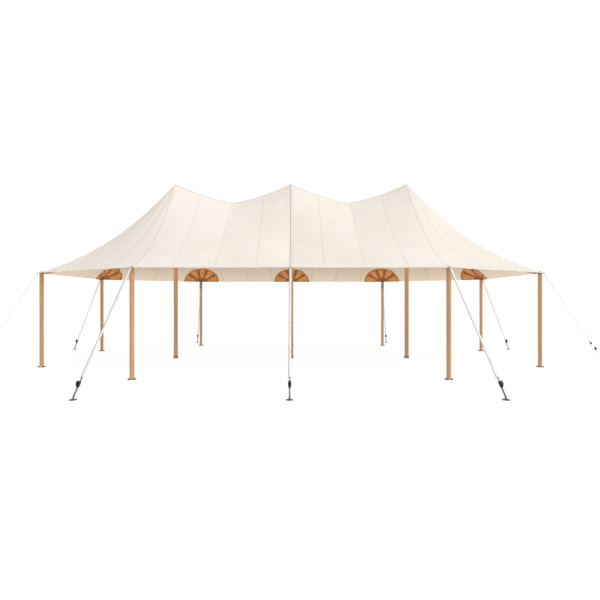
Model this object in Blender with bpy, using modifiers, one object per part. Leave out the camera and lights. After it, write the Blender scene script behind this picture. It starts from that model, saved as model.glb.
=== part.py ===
# Sailcloth tent: a two-piece canopy on three centre poles, held out by side posts and ratchet guys.
# Metres, +Z up, +X along the ridge, front at -Y, origin on the ground under the middle pole.

import math

import bmesh
import bpy
from mathutils import Matrix, Vector

# Plan: the poles and side posts stand one bay apart, and each end is half a regular hexagon.
BAY = 3.40
HALF_DEPTH = BAY
END_ANGLE = math.radians(30.0)
END_POST_X = BAY + HALF_DEPTH * math.cos(END_ANGLE)
END_POST_Y = HALF_DEPTH * math.sin(END_ANGLE)

# Canopy, measured on its top face.
EAVE_HEIGHT = 2.40
PEAK_HEIGHT = 5.12
VALLEY_HEIGHT = 4.56
RIDGE_STRAIGHTNESS = 0.54
EAVE_OVERHANG = 0.07
CANOPY_THICKNESS = 0.012
LACE_GAP = 0.004
HIP_FULLNESS = 0.42
BAY_FULLNESS = 0.80
END_FULLNESS = 0.50
PEAK_SQUARENESS = 0.35
FULLY_SQUARE = 0.625
BAY_STRIPS = 8
END_STRIPS = 12
RINGS = 9

# Timber: the poles stand in round sockets, the posts between the raised ends of a steel shoe.
POST_RADIUS = 0.050
POST_TOP = 2.386
POST_EDGE = 0.008
POLE_RADIUS = 0.060
POLE_SHOULDER = PEAK_HEIGHT - 0.22
POLE_TIP_RADIUS = 0.012
POLE_TIP = PEAK_HEIGHT - 0.045
TIMBER_SIDES = 18
SOCKET_BASE = 0.010
SOCKET_HEIGHT = 0.065
SOCKET_WALL = 0.006
SOCKET_RIM = 0.011
SHOE_LENGTH = 0.165
SHOE_DEPTH = 0.100
SHOE_SOLE = 0.004
SHOE_END = 0.022
FOOT_PLAY = 0.0015
FOOT_SIDES = 18
TOUCH_GAP = 0.0003

# Guys: flat webbing down to a ratchet, then a steel bar to the stake head on its ground plate.
STRAP_WIDTH = 0.050
STRAP_THICKNESS = 0.004
STRAP_STANDOFF = 0.012
RATCHET_LENGTH = 0.120
RATCHET_WIDTH = 0.064
RATCHET_BASE = 0.084
CHEEK_THICKNESS = 0.004
CHEEK_HEIGHT = 0.046
SPOOL_RADIUS = 0.012
SPOOL_LENGTH = 0.076
SPOOL_HEIGHT = 0.026
HANDLE_LENGTH = 0.054
HANDLE_WIDTH = 0.045
HANDLE_HEIGHT = 0.038
GRIP_RADIUS = 0.009
GRIP_LENGTH = 0.055
GRIP_OFFSET = 0.0456
BAR_RADIUS = 0.012
STAKE_HEAD_RADIUS = 0.020
STAKE_HEAD_HEIGHT = 0.040
PLATE_RADIUS = 0.070
PLATE_THICKNESS = 0.010
BAR_SIDES = 10

# Each guy's reach beyond its post on the ground, outwards and along the ridge, how far down its length
# the middle of the ratchet sits, and the size of the smaller ratchets on the end guys at the front.
FRONT_REACH = 1.86
BACK_REACH = 1.10
SIDE_SPREAD_FRONT = 0.30
SIDE_SPREAD_BACK = 0.38
END_FRONT_REACH = (1.325, 0.563)
END_BACK_REACH = (1.160, 0.480)
LOW_RATCHET = 0.92
BACK_RATCHET = 0.90
HIGH_RATCHET = 0.80
SMALL_RATCHET = 0.67


def clear_scene():
    for old in list(bpy.data.objects):
        bpy.data.objects.remove(old, do_unlink=True)


def make_material(name, colour, roughness, metallic=0.0):
    material = bpy.data.materials.new(name)
    material.use_nodes = True
    shader = material.node_tree.nodes["Principled BSDF"]
    shader.inputs["Base Color"].default_value = (*colour, 1.0)
    shader.inputs["Roughness"].default_value = roughness
    shader.inputs["Metallic"].default_value = metallic
    return material


def place(name, mesh, material, collection, matrix=Matrix.Identity(4)):
    """Put a mesh in the tent's collection under its own name."""
    piece = bpy.data.objects.new(name, mesh)
    if not mesh.materials:
        mesh.materials.append(material)
    piece.matrix_world = matrix
    collection.objects.link(piece)
    return piece


def smooth(mesh, degrees=40.0):
    mesh.shade_smooth()
    mesh.set_sharp_from_angle(angle=math.radians(degrees))


# The canopy.

def fall(t, fullness):
    """Height left between the eave (0) and the top (1) at t of the way down the slope."""
    return fullness * (1.0 - t) + (1.0 - fullness) * (1.0 - t) ** 2


def ridge_height(x):
    """The ridge falls from both poles to the middle of the bay, part straight and part curved."""
    up = abs(2.0 * abs(x) / BAY - 1.0)
    share = RIDGE_STRAIGHTNESS * up + (1.0 - RIDGE_STRAIGHTNESS) * up ** 2
    return VALLEY_HEIGHT + (PEAK_HEIGHT - VALLEY_HEIGHT) * share


def bay_fullness(x):
    u = abs(x) / BAY
    return HIP_FULLNESS + (BAY_FULLNESS - HIP_FULLNESS) * 4.0 * u * (1.0 - u)


def end_spoke(turn):
    """Direction, reach and fullness of the slope at a turn from the front (0) to the back (pi)."""
    eave_radius = HALF_DEPTH + EAVE_OVERHANG
    side = 2.0 * END_ANGLE
    from_middle = (turn % side) - side / 2.0
    reach = eave_radius * math.cos(side / 2.0) / math.cos(from_middle)
    edge_share = abs(from_middle) / (side / 2.0)
    fullness = END_FULLNESS + (HIP_FULLNESS - END_FULLNESS) * edge_share ** 2
    return Vector((-math.sin(turn), -math.cos(turn))), reach, fullness


def left_canopy_point(strip, t):
    """A point on the left half: strips run from the front lacing round the end to the back lacing."""
    eave_radius = HALF_DEPTH + EAVE_OVERHANG
    last = 2 * BAY_STRIPS + END_STRIPS
    along = min(strip, last - strip)
    if along <= BAY_STRIPS:
        x = -LACE_GAP / 2.0 - (BAY - LACE_GAP / 2.0) * along / BAY_STRIPS
        front = -1.0 if strip <= BAY_STRIPS else 1.0
        height = EAVE_HEIGHT + (ridge_height(x) - EAVE_HEIGHT) * fall(t, bay_fullness(x))
        return Vector((x, front * eave_radius * t, height))
    turn = math.pi * (strip - BAY_STRIPS) / END_STRIPS
    direction, reach, fullness = end_spoke(turn)
    squareness = PEAK_SQUARENESS + (1.0 - PEAK_SQUARENESS) * min(1.0, t / FULLY_SQUARE)
    radius = t * (eave_radius + (reach - eave_radius) * squareness)
    height = EAVE_HEIGHT + (PEAK_HEIGHT - EAVE_HEIGHT) * fall(t, fullness)
    return Vector((-BAY + direction.x * radius, direction.y * radius, height))


def build_canopy(name, side, material, collection):
    """One half of the roof: a grid bent over the poles, closed at its ridge, with its underside below."""
    strips = 2 * BAY_STRIPS + END_STRIPS
    bm = bmesh.new()
    bmesh.ops.create_grid(bm, x_segments=strips, y_segments=RINGS, size=1.0)
    for vertex in bm.verts:
        strip = round((vertex.co.x + 1.0) / 2.0 * strips)
        point = left_canopy_point(strip, (vertex.co.y + 1.0) / 2.0)
        point.x *= -side
        vertex.co = point
    bmesh.ops.remove_doubles(bm, verts=bm.verts, dist=0.0001)
    under = bmesh.ops.extrude_face_region(bm, geom=bm.faces[:], use_keep_orig=True)["geom"]
    under = [item for item in under if isinstance(item, bmesh.types.BMVert)]
    bmesh.ops.translate(bm, verts=under, vec=(0.0, 0.0, -CANOPY_THICKNESS))
    bmesh.ops.recalc_face_normals(bm, faces=bm.faces)
    mesh = bpy.data.meshes.new(name)
    bm.to_mesh(mesh)
    bm.free()
    smooth(mesh)
    return place(name, mesh, material, collection)


# Turned and round pieces.

def turned(name, profile, sides, material, collection, matrix):
    """Turn a profile, given from the axis at the top to the axis at the bottom, about +Z."""
    mesh = bpy.data.meshes.new(name)
    points = [(radius, 0.0, height) for radius, height in profile]
    edges = [(i, i + 1) for i in range(len(points) - 1)]
    mesh.from_pydata(points, edges, [])
    piece = place(name, mesh, material, collection, matrix)
    screw = piece.modifiers.new("turn", "SCREW")
    screw.steps = sides
    screw.render_steps = sides
    screw.use_merge_vertices = True
    screw.merge_threshold = 0.0001
    screw.use_smooth_shade = False
    return piece


def build_socket(name, spot, material, collection):
    inner = POLE_RADIUS + FOOT_PLAY
    outer = inner + SOCKET_WALL
    rim = outer + SOCKET_RIM
    profile = [(0.0, SOCKET_BASE), (inner, SOCKET_BASE), (inner, SOCKET_HEIGHT), (outer, SOCKET_HEIGHT),
               (outer, SOCKET_BASE), (rim, SOCKET_BASE), (rim, 0.0), (0.0, 0.0)]
    return turned(name, profile, FOOT_SIDES, material, collection, Matrix.Translation(spot))


def build_shoe(name, spot, material, collection):
    """A thin sole under the post, with a thicker end on either side of it."""
    end = SHOE_LENGTH / 2.0
    inside = POST_RADIUS + FOOT_PLAY
    outline = [(-end, 0.0), (end, 0.0), (end, SHOE_END), (inside, SHOE_END), (inside, SHOE_SOLE),
               (-inside, SHOE_SOLE), (-inside, SHOE_END), (-end, SHOE_END)]
    bm = bmesh.new()
    front = bm.faces.new([bm.verts.new((x, -SHOE_DEPTH / 2.0, z)) for x, z in outline])
    grown = bmesh.ops.extrude_face_region(bm, geom=[front], use_keep_orig=True)["geom"]
    back = [item for item in grown if isinstance(item, bmesh.types.BMVert)]
    bmesh.ops.translate(bm, verts=back, vec=(0.0, SHOE_DEPTH, 0.0))
    bmesh.ops.recalc_face_normals(bm, faces=bm.faces)
    mesh = bpy.data.meshes.new(name)
    bm.to_mesh(mesh)
    bm.free()
    return place(name, mesh, material, collection, Matrix.Translation(spot))


def build_post(name, spot, material, collection):
    bottom = SHOE_SOLE + TOUCH_GAP
    middle = spot + Vector((0.0, 0.0, (bottom + POST_TOP) / 2.0))
    bpy.ops.mesh.primitive_cylinder_add(vertices=TIMBER_SIDES, radius=POST_RADIUS,
                                        depth=POST_TOP - bottom, location=middle)
    piece = bpy.context.object
    piece.name = name
    piece.data.name = name
    piece.data.materials.append(material)
    for owner in list(piece.users_collection):
        owner.objects.unlink(piece)
    collection.objects.link(piece)
    edge = piece.modifiers.new("eased ends", "BEVEL")
    edge.width = POST_EDGE
    edge.segments = 1
    edge.limit_method = "ANGLE"
    edge.angle_limit = math.radians(60.0)
    smooth(piece.data)
    return piece


def build_pole(name, spot, material, collection):
    bottom = SOCKET_BASE + TOUCH_GAP
    profile = [(0.0, POLE_TIP), (POLE_TIP_RADIUS, POLE_TIP), (POLE_RADIUS, POLE_SHOULDER),
               (POLE_RADIUS, bottom), (0.0, bottom)]
    return turned(name, profile, TIMBER_SIDES, material, collection, Matrix.Translation(spot))


# Guys.

def box_solid(size, centre):
    bm = bmesh.new()
    bmesh.ops.create_cube(bm, size=1.0, matrix=Matrix.Translation(centre) @ Matrix.Diagonal((*size, 1.0)))
    return bm


def rod_solid(radius, length, sides, matrix):
    bm = bmesh.new()
    bmesh.ops.create_cone(bm, cap_ends=True, segments=sides, radius1=radius, radius2=radius,
                          depth=length, matrix=matrix)
    return bm


def fuse(name, solids, collection):
    """Join overlapping solids into one closed mesh."""
    pieces = []
    for number, bm in enumerate(solids):
        mesh = bpy.data.meshes.new(f"{name} solid {number}")
        bm.to_mesh(mesh)
        bm.free()
        piece = bpy.data.objects.new(mesh.name, mesh)
        collection.objects.link(piece)
        pieces.append(piece)
    body = pieces[0]
    for tool in pieces[1:]:
        join = body.modifiers.new("join", "BOOLEAN")
        join.operation = "UNION"
        join.solver = "EXACT"
        join.object = tool
    bpy.context.view_layer.update()
    whole = bpy.data.meshes.new_from_object(body.evaluated_get(bpy.context.evaluated_depsgraph_get()))
    whole.name = name
    for piece in pieces:
        bpy.data.objects.remove(piece, do_unlink=True)
    smooth(whole)
    return whole


def ratchet_mesh(size, collection):
    """Two cheeks on a base, a spool through them and a folded handle with its cross grip."""
    across = Matrix.Rotation(math.radians(90.0), 4, "Y")
    cheek_offset = (RATCHET_WIDTH - CHEEK_THICKNESS) / 2.0
    cheek = (CHEEK_THICKNESS, RATCHET_LENGTH, CHEEK_HEIGHT)
    handle = (HANDLE_WIDTH, HANDLE_LENGTH, CHEEK_THICKNESS)
    solids = [
        box_solid((RATCHET_WIDTH, RATCHET_BASE, CHEEK_THICKNESS), (0.0, 0.0, CHEEK_THICKNESS / 2.0)),
        box_solid(cheek, (-cheek_offset, 0.0, CHEEK_HEIGHT / 2.0)),
        box_solid(cheek, (cheek_offset, 0.0, CHEEK_HEIGHT / 2.0)),
        rod_solid(SPOOL_RADIUS, SPOOL_LENGTH, BAR_SIDES,
                  Matrix.Translation((0.0, 0.0, SPOOL_HEIGHT)) @ across),
        box_solid(handle, (0.0, -GRIP_OFFSET / 2.0, HANDLE_HEIGHT)),
        rod_solid(GRIP_RADIUS, GRIP_LENGTH, BAR_SIDES,
                  Matrix.Translation((0.0, -GRIP_OFFSET, HANDLE_HEIGHT)) @ across),
    ]
    ratchet = fuse("ratchet", solids, collection)
    ratchet.transform(Matrix.Scale(size, 4))
    return ratchet


def guy_frame(top, ground, share):
    """A frame on the guy's line: X across, Y down the line, Z away from the tent."""
    down = (ground - top).normalized()
    across = down.cross(Vector((0.0, 0.0, 1.0))).normalized()
    away = across.cross(down)
    frame = Matrix((across, down, away)).transposed().to_4x4()
    return Matrix.Translation(top.lerp(ground, share)) @ frame


def build_guy(name, corner, stake, ratchet_share, size, materials, collection, workshop):
    outward = (stake - corner).normalized()
    top = corner + STRAP_STANDOFF * outward + Vector((0.0, 0.0, EAVE_HEIGHT - CANOPY_THICKNESS / 2.0))
    ground = stake + Vector((0.0, 0.0, STAKE_HEAD_HEIGHT))
    length = (ground - top).length
    half_ratchet = size * RATCHET_LENGTH / 2.0 + TOUCH_GAP
    strap_length = ratchet_share * length - half_ratchet
    strap_middle = strap_length / 2.0 / length
    strap = bpy.data.meshes.new(f"strap_{name}")
    solid = box_solid((STRAP_WIDTH, strap_length, STRAP_THICKNESS), (0.0, 0.0, 0.0))
    solid.to_mesh(strap)
    solid.free()
    place(f"strap_{name}", strap, materials["webbing"], collection, guy_frame(top, ground, strap_middle))
    place(f"ratchet_{name}", ratchet_mesh(size, workshop), materials["ratchet"], collection,
          guy_frame(top, ground, ratchet_share))
    bar_length = (1.0 - ratchet_share) * length - half_ratchet
    bar_middle = 1.0 - bar_length / 2.0 / length
    bar_turn = Matrix.Rotation(math.radians(90.0), 4, "X")
    head_centre = stake + Vector((0.0, 0.0, STAKE_HEAD_HEIGHT / 2.0))
    plate_centre = stake + Vector((0.0, 0.0, PLATE_THICKNESS / 2.0))
    solids = [
        rod_solid(PLATE_RADIUS, PLATE_THICKNESS, FOOT_SIDES, Matrix.Translation(plate_centre)),
        rod_solid(STAKE_HEAD_RADIUS, STAKE_HEAD_HEIGHT, BAR_SIDES, Matrix.Translation(head_centre)),
        rod_solid(BAR_RADIUS, bar_length, BAR_SIDES, guy_frame(top, ground, bar_middle) @ bar_turn),
    ]
    anchor = fuse(f"anchor_{name}", solids, workshop)
    place(f"anchor_{name}", anchor, materials["steel"], collection)


# The tent.

def post_spots():
    """Side posts by name; the front row has none at its middle."""
    spots = {
        "front_left": (-BAY, -HALF_DEPTH),
        "front_right": (BAY, -HALF_DEPTH),
        "back_left": (-BAY, HALF_DEPTH),
        "back_centre": (0.0, HALF_DEPTH),
        "back_right": (BAY, HALF_DEPTH),
    }
    for side, sign in (("left", -1.0), ("right", 1.0)):
        spots[f"{side}_front"] = (sign * END_POST_X, -END_POST_Y)
        spots[f"{side}_back"] = (sign * END_POST_X, END_POST_Y)
    return {name: Vector((x, y, 0.0)) for name, (x, y) in spots.items()}


def guy_lines():
    """Each guy's eave corner, stake, ratchet place and ratchet size."""
    edge = HALF_DEPTH + EAVE_OVERHANG
    lines = {}
    for column, x, lean in (("left", -BAY, -1.0), ("centre", 0.0, 0.0), ("right", BAY, 1.0)):
        lines[f"front_{column}"] = (Vector((x, -edge, 0.0)),
                                    Vector((x + lean * SIDE_SPREAD_FRONT, -HALF_DEPTH - FRONT_REACH, 0.0)),
                                    LOW_RATCHET, 1.0)
        lines[f"back_{column}"] = (Vector((x, edge, 0.0)),
                                   Vector((x + lean * SIDE_SPREAD_BACK, HALF_DEPTH + BACK_REACH, 0.0)),
                                   BACK_RATCHET, 1.0)
    corner_x = BAY + edge * math.cos(END_ANGLE)
    corner_y = edge * math.sin(END_ANGLE)
    ends = (
        ("front", -1.0, END_FRONT_REACH, HIGH_RATCHET, SMALL_RATCHET),
        ("back", 1.0, END_BACK_REACH, BACK_RATCHET, 1.0),
    )
    for side, sign in (("left", -1.0), ("right", 1.0)):
        for row, facing, reach, share, size in ends:
            corner = Vector((sign * corner_x, facing * corner_y, 0.0))
            stake = Vector((sign * (END_POST_X + reach[0]), facing * (END_POST_Y + reach[1]), 0.0))
            lines[f"{side}_{row}"] = (corner, stake, share, size)
    return lines


def main():
    clear_scene()
    tent = bpy.data.collections.new("sailcloth tent")
    workshop = bpy.data.collections.new("joining tools")
    bpy.context.scene.collection.children.link(tent)
    bpy.context.scene.collection.children.link(workshop)
    materials = {
        "canopy": make_material("cream sailcloth", (0.87, 0.82, 0.73), 0.85),
        "timber": make_material("varnished timber", (0.52, 0.28, 0.14), 0.45),
        "webbing": make_material("white webbing", (0.80, 0.80, 0.78), 0.80),
        "ratchet": make_material("black ratchet", (0.03, 0.03, 0.03), 0.45),
        "steel": make_material("grey steel", (0.22, 0.22, 0.22), 0.40, 0.8),
    }
    build_canopy("canopy_left", -1.0, materials["canopy"], tent)
    build_canopy("canopy_right", 1.0, materials["canopy"], tent)
    for column, x in (("left", -BAY), ("middle", 0.0), ("right", BAY)):
        spot = Vector((x, 0.0, 0.0))
        build_pole(f"centre_pole_{column}", spot, materials["timber"], tent)
        build_socket(f"centre_pole_foot_{column}", spot, materials["steel"], tent)
    for name, spot in post_spots().items():
        build_post(f"side_post_{name}", spot, materials["timber"], tent)
        build_shoe(f"post_foot_{name}", spot, materials["steel"], tent)
    for name, (corner, stake, share, size) in guy_lines().items():
        build_guy(name, corner, stake, share, size, materials, tent, workshop)


main()
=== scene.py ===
# Sailcloth tent: cloth, timber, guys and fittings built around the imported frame.
import math

import bmesh
import bpy
from mathutils import Matrix, Vector


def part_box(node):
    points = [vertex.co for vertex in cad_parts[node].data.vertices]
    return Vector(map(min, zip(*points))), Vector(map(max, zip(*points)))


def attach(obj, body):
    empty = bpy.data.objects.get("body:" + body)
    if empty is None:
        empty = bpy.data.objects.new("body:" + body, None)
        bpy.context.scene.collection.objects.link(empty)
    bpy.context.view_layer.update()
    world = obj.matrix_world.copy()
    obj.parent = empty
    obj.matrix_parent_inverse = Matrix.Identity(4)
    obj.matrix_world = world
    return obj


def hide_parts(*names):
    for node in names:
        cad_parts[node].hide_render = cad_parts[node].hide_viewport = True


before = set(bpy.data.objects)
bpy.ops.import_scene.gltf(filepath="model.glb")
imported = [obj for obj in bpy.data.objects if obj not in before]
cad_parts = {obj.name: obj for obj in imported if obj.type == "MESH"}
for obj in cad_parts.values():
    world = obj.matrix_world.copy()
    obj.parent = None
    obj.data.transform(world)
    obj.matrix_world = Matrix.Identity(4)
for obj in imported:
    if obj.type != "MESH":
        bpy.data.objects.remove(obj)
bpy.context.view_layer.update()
scene = bpy.context.scene
tentCollection = bpy.data.collections.new("sailcloth tent")
scene.collection.children.link(tentCollection)

columns = ("left", "middle", "right")
guyNames = [name[len("strap_"):] for name in sorted(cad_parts) if name.startswith("strap_")]
postNames = [name[len("side_post_"):] for name in sorted(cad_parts) if name.startswith("side_post_")]


def middleOf(nodeName):
    low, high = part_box(nodeName)
    return (low + high) / 2


# Roof shape, as the frame has it: half a hexagon at each end, straight bays between.
roof = {
    "valleyHeight": 4.56,
    "ridgeStraightness": 0.54,
    "hipFullness": 0.42,
    "bayFullness": 0.80,
    "endFullness": 0.50,
    "peakSquareness": 0.35,
    "fullySquare": 0.625,
    "solidDepth": 0.012,   # the frame's canopy is a thick stand-in for the cloth
    "laceGap": 0.004,
    "baySteps": 8,
    "endSteps": 12,
    "halvings": 24,   # how finely a place on an end slope is found
    "seamsAtRidge": (0.238, 0.515, 0.779),   # shares of a bay, from the lacing outwards
    "seamsAtEave": (0.218, 0.479, 0.746),
}
canopyLow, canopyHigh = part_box("canopy_left")
bay = -middleOf("centre_pole_left").x
eaveRadius = -canopyLow.y
eaveHeight = canopyLow.z + roof["solidDepth"]
peakHeight = canopyHigh.z
endSide = math.radians(60)
sin30, cos30 = 0.5, math.cos(math.radians(30))
baySteps, endSteps = roof["baySteps"], roof["endSteps"]
lastStep = 2 * baySteps + endSteps
halfGap = roof["laceGap"] / 2


# Small shapes in the cloth: panels swell between seams, and folds run out from peaks and corners.
cloth = {
    "thickness": 0.003,
    "columnsPerStep": 6, "rows": 52,
    "ridgeSoftness": 0.005,
    "panelSwell": 0.008, "goreSwell": 0.016,
    "swellLean": 0.8, "swellEase": 0.5,   # fullest a little above the middle of the slope
    "fadeAtRidge": 8, "fadeAtEave": 6,
    "peakFold": {"height": 0.010, "count": 9, "reach": 0.55, "spread": 0.40, "turn": 1.3},
    "cornerFold": {"height": 0.007, "count": 11, "reach": 0.85, "spread": 0.50, "turn": 0.9},
}


def eaveCorner(name):
    # the corner of the eave over a side post, or over the guy where there is no post
    side, row = name.split("_")
    if side in ("front", "back"):
        x = {"left": -bay, "centre": 0.0, "right": bay}[row]
        return Vector((x, -eaveRadius if side == "front" else eaveRadius))
    sign = -1 if side == "left" else 1
    return Vector((sign * (bay + eaveRadius * cos30), (-sin30 if row == "front" else sin30) * eaveRadius))


peakSpots = [Vector((x, 0.0)) for x in (-bay, 0.0, bay)]
cornerSpots = [eaveCorner(name) for name in guyNames]


def slopeFall(t, fullness):
    # how much of the ridge's height is left at a share of the way down the slope
    return fullness * (1 - t) + (1 - fullness) * (1 - t) ** 2


def foldRise(plan, spot, fold, phase):
    # folds that ray out from a spot, strongest at their reach
    away = plan - spot
    distance, reach, spread = away.length, fold["reach"], fold["spread"]
    if distance < 1e-4 or distance > reach + 3 * spread:   # no direction at the spot itself
        return 0.0
    angle = math.atan2(away.y, away.x)
    fade = math.exp(-((distance - reach) / spread) ** 2) * min(1.0, distance / (0.5 * reach))
    return fold["height"] * fade * math.cos(fold["count"] * angle + phase)


def seamShare(number, t):
    # where a bay's seam is across the bay, at a share of the way down the slope
    return roof["seamsAtRidge"][number] * (1 - t) + roof["seamsAtEave"][number] * t


def clothRise(plan, s, t):
    # how far the real cloth stands above the frame's smooth surface
    along = min(s, lastStep - s)
    if along <= baySteps:
        share = along / baySteps
        stops = [0.0, *(seamShare(number, t) for number in range(len(roof["seamsAtRidge"]))), 1.0]
        panel = max(i for i, stop in enumerate(stops[:-1]) if share >= stop)
        inPanel = min(1.0, (share - stops[panel]) / (stops[panel + 1] - stops[panel]))
        swell = cloth["panelSwell"]
    else:
        inPanel = along % 1.0
        swell = cloth["goreSwell"]
    onSlope = max(0.0, math.sin(math.pi * min(1.0, t ** cloth["swellLean"]))) ** cloth["swellEase"]
    rise = swell * math.sin(math.pi * inPanel) * onSlope
    for fold, spots in ((cloth["peakFold"], peakSpots), (cloth["cornerFold"], cornerSpots)):
        for number, spot in enumerate(spots):
            rise += foldRise(plan, spot, fold, fold["turn"] * number)
    return rise * min(1.0, cloth["fadeAtRidge"] * t) * min(1.0, cloth["fadeAtEave"] * (1 - t))


def endReach(turn):
    # the eave's distance from the end pole in a direction, and the slope's fullness there
    fromMiddle = (turn % endSide) - endSide / 2
    reach = eaveRadius * math.cos(endSide / 2) / math.cos(fromMiddle)
    share = abs(fromMiddle) / (endSide / 2)
    return reach, roof["endFullness"] + (roof["hipFullness"] - roof["endFullness"]) * share ** 2


def endRadius(turn, t):
    # round at the peak, square to the hexagon lower down
    reach, fullness = endReach(turn)
    square = roof["peakSquareness"] + (1 - roof["peakSquareness"]) * min(1.0, t / roof["fullySquare"])
    return t * (eaveRadius + (reach - eaveRadius) * square), fullness


def roofPoint(side, s, t):
    # s runs from the front lacing (0) round the end to the back lacing, t from ridge (0) to eave (1)
    soft = cloth["ridgeSoftness"]
    low = min(1.0, math.sqrt(t * t + soft * soft) - soft * (1 - t))
    along = min(s, lastStep - s)
    if along <= baySteps:
        x = halfGap + (bay - halfGap) * along / baySteps
        u = x / bay
        up = abs(2 * u - 1)
        curve = roof["ridgeStraightness"] * up + (1 - roof["ridgeStraightness"]) * up ** 2
        ridge = roof["valleyHeight"] + (peakHeight - roof["valleyHeight"]) * curve
        fullness = roof["hipFullness"] + (roof["bayFullness"] - roof["hipFullness"]) * 4 * u * (1 - u)
        y = eaveRadius * t * (-1 if s <= baySteps else 1)
        point = Vector((side * x, y, eaveHeight + (ridge - eaveHeight) * slopeFall(low, fullness)))
    else:
        turn = math.pi * (s - baySteps) / endSteps
        radius, fullness = endRadius(turn, t)
        height = eaveHeight + (peakHeight - eaveHeight) * slopeFall(low, fullness)
        point = Vector((side * (bay + math.sin(turn) * radius), -math.cos(turn) * radius, height))
    point.z += clothRise(point.xy, s, t)
    return point


def roofStep(x, y):
    # the step and slope share of a place on the plan
    out = abs(x) - bay
    if out <= 0:
        along = max(0.0, (abs(x) - halfGap) / (bay - halfGap) * baySteps)
        return (along if y <= 0 else lastStep - along), min(1.0, abs(y) / eaveRadius)
    turn = math.atan2(out, -y)
    wanted = math.hypot(out, y)
    low, high = 0.0, 1.0
    for _ in range(roof["halvings"]):
        t = (low + high) / 2
        if endRadius(turn, t)[0] < wanted:
            low = t
        else:
            high = t
    return baySteps + endSteps * turn / math.pi, t


def roofAt(x, y):
    return roofPoint(-1 if x < 0 else 1, *roofStep(x, y))


def lifted(point, height):
    return point + Vector((0, 0, height))


# Mesh and material helpers.
tiny = {"merge": 0.00001, "gap": 0.0003, "clear": 0.0005, "lift": 0.001}
facets = {"screw": 12, "pin": 16, "rod": 20, "grip": 24, "spool": 28, "head": 32, "plate": 48}
alongX = Matrix.Rotation(math.radians(90), 4, "Y")   # lays a rod from its own axis, which is Z
alongY = Matrix.Rotation(math.radians(90), 4, "X")


def addPiece(name, bm, finishes, nodes=(), sharp=40):
    mesh = bpy.data.meshes.new(name)
    bm.to_mesh(mesh)
    bm.free()
    for finish in finishes:
        mesh.materials.append(finish)
    mesh.shade_smooth()
    mesh.set_sharp_from_angle(angle=math.radians(sharp))
    piece = bpy.data.objects.new(name, mesh)
    tentCollection.objects.link(piece)
    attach(piece, "root")
    if nodes:
        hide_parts(*nodes)
    return piece


def joinShape(bm, extra):
    mesh = bpy.data.meshes.new("joining")
    extra.to_mesh(mesh)
    extra.free()
    bm.from_mesh(mesh)
    bpy.data.meshes.remove(mesh)


def finishShape(bm, finish, matrix=None):
    for face in bm.faces:
        face.material_index = finish
    if matrix is not None:
        bm.transform(matrix)
    return bm


def cleanShape(bm):
    bmesh.ops.remove_doubles(bm, verts=bm.verts, dist=tiny["merge"])
    bmesh.ops.recalc_face_normals(bm, faces=bm.faces)


def gridPlace(spot, acrossCount, alongCount):
    # the column and row of a vertex of a new grid, which reaches from -1 to 1
    return round((spot.x + 1) / 2 * acrossCount), round((spot.y + 1) / 2 * alongCount)


def loftRings(bm, rings, finish=0, looped=False):
    # a tube through rings of equal count: a grid moved onto them and closed, with u across and v along
    count, rows = len(rings[0]), len(rings)
    bm.loops.layers.uv.verify()
    spare = bmesh.new()
    uv = spare.loops.layers.uv.verify()
    bmesh.ops.create_grid(spare, x_segments=count, y_segments=rows - 1, size=1.0)
    girth, length = [0.0], [0.0]
    for i in range(count):
        girth.append(girth[-1] + (rings[0][(i + 1) % count] - rings[0][i]).length)
    for i in range(1, rows):
        length.append(length[-1] + (rings[i][0] - rings[i - 1][0]).length)
    for vertex in spare.verts:
        column, row = gridPlace(vertex.co, count, rows - 1)
        for loop in vertex.link_loops:
            loop[uv].uv = (girth[column], length[row])
        vertex.co = rings[row][column % count]
    bmesh.ops.remove_doubles(spare, verts=spare.verts, dist=tiny["merge"])
    if not looped:
        bmesh.ops.holes_fill(spare, edges=[edge for edge in spare.edges if edge.is_boundary])
    bmesh.ops.recalc_face_normals(spare, faces=spare.faces)
    joinShape(bm, finishShape(spare, finish))


def thickened(bm, faces, shift):
    # copy faces by a shift and close them round the edge; the copies are returned
    grown = bmesh.ops.extrude_face_region(bm, geom=faces, use_keep_orig=True)["geom"]
    far = [item for item in grown if isinstance(item, bmesh.types.BMVert)]
    bmesh.ops.translate(bm, verts=far, vec=shift)
    bmesh.ops.recalc_face_normals(bm, faces=bm.faces)
    return [item for item in grown if isinstance(item, bmesh.types.BMFace)]


def ringAround(centre, across, out, profile):
    return [centre + across * a + out * b for a, b in profile]


def roundProfile(radius, sides):
    return [(radius * math.cos(2 * math.pi * i / sides), radius * math.sin(2 * math.pi * i / sides))
            for i in range(sides)]


def turnedShape(profile, sides, matrix, finish=0, closed=False):
    # spin an outline: open from the axis at the top to the axis at the bottom, or closed for a ring
    bm = bmesh.new()
    points = [bm.verts.new((radius, 0.0, height)) for radius, height in profile]
    following = points[1:] + points[:1] if closed else points[1:]
    edges = [bm.edges.new(pair) for pair in zip(points, following)]
    bmesh.ops.spin(bm, geom=points + edges, cent=(0, 0, 0), axis=(0, 0, 1), angle=2 * math.pi,
                   steps=sides, use_merge=True)
    cleanShape(bm)
    return finishShape(bm, finish, matrix)


def boxShape(size, centre, matrix, ease=0.0, finish=0, segments=2):
    bm = bmesh.new()
    bmesh.ops.create_cube(bm, size=1.0, matrix=Matrix.Translation(centre) @ Matrix.Diagonal((*size, 1.0)))
    if ease:
        bmesh.ops.bevel(bm, geom=bm.edges[:], offset=ease, affect="EDGES", segments=segments, profile=0.5,
                        material=-1)
    return finishShape(bm, finish, matrix)


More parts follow.
